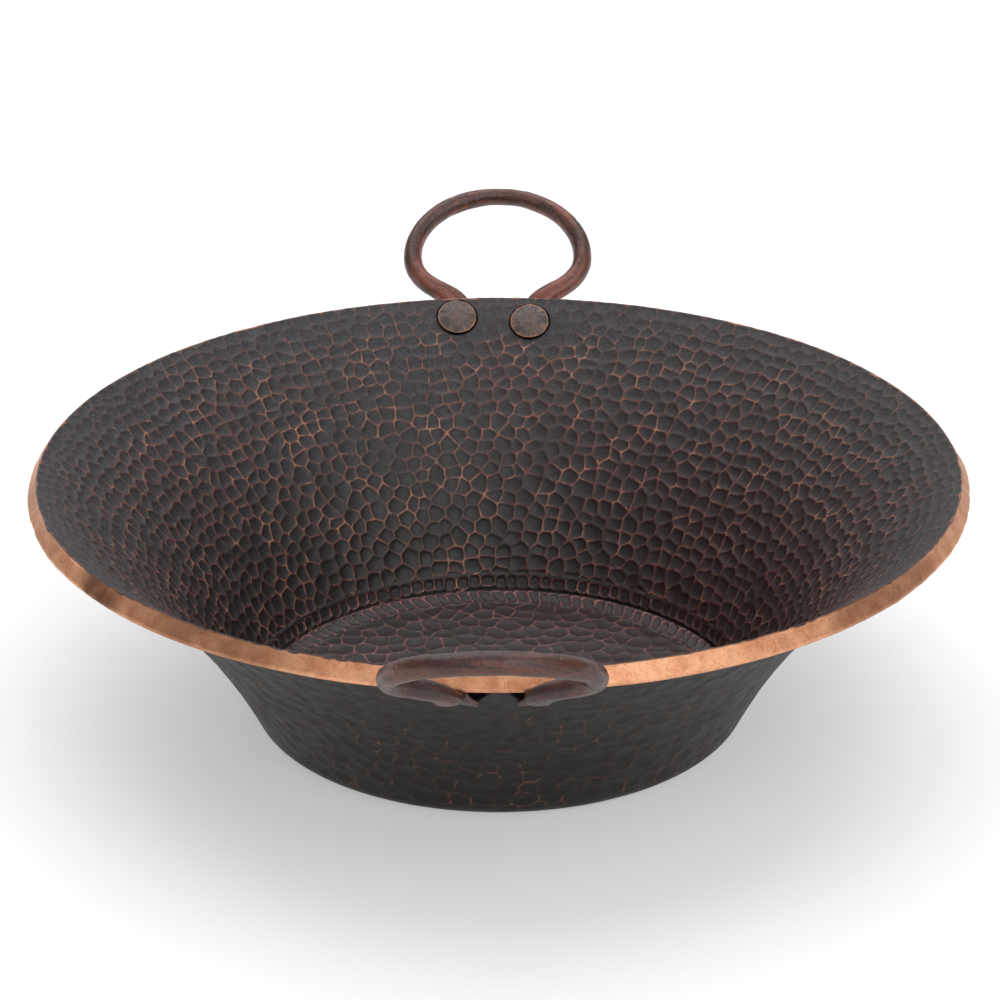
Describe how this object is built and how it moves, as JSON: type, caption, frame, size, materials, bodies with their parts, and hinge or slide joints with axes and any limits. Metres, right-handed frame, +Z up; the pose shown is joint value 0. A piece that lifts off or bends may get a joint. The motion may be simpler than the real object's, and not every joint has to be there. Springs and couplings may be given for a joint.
{
  "type": "hammered copper bowl",
  "caption": "Wide flared bowl of hammered copper with a thick lip, a dark patina and a riveted loop handle at the front and at the back.",
  "frame": {"origin": "centre of the flat underside", "axes": "+Z up out of the mouth; the two loop handles lie along Y, with the front handle at -Y; +X to the right"},
  "size_m": [0.4063, 0.518, 0.1496],
  "materials": {
    "hammered_copper": "dark oxidised copper with bare ridges between the hammer marks and a bare planished lip",
    "handle_patina": "forged rod with a brown-grey patina rubbed red-brown in places",
    "rivet_copper": "hammered heads with a grey-brown patina and a bare edge"
  },
  "bodies": {
    "root": {"bowl": "hammered_copper", "handle_front": "handle_patina", "handle_back": "handle_patina", "rivet_front_left": "rivet_copper", "rivet_front_right": "rivet_copper", "rivet_back_left": "rivet_copper", "rivet_back_right": "rivet_copper"}
  },
  "joints": []
}
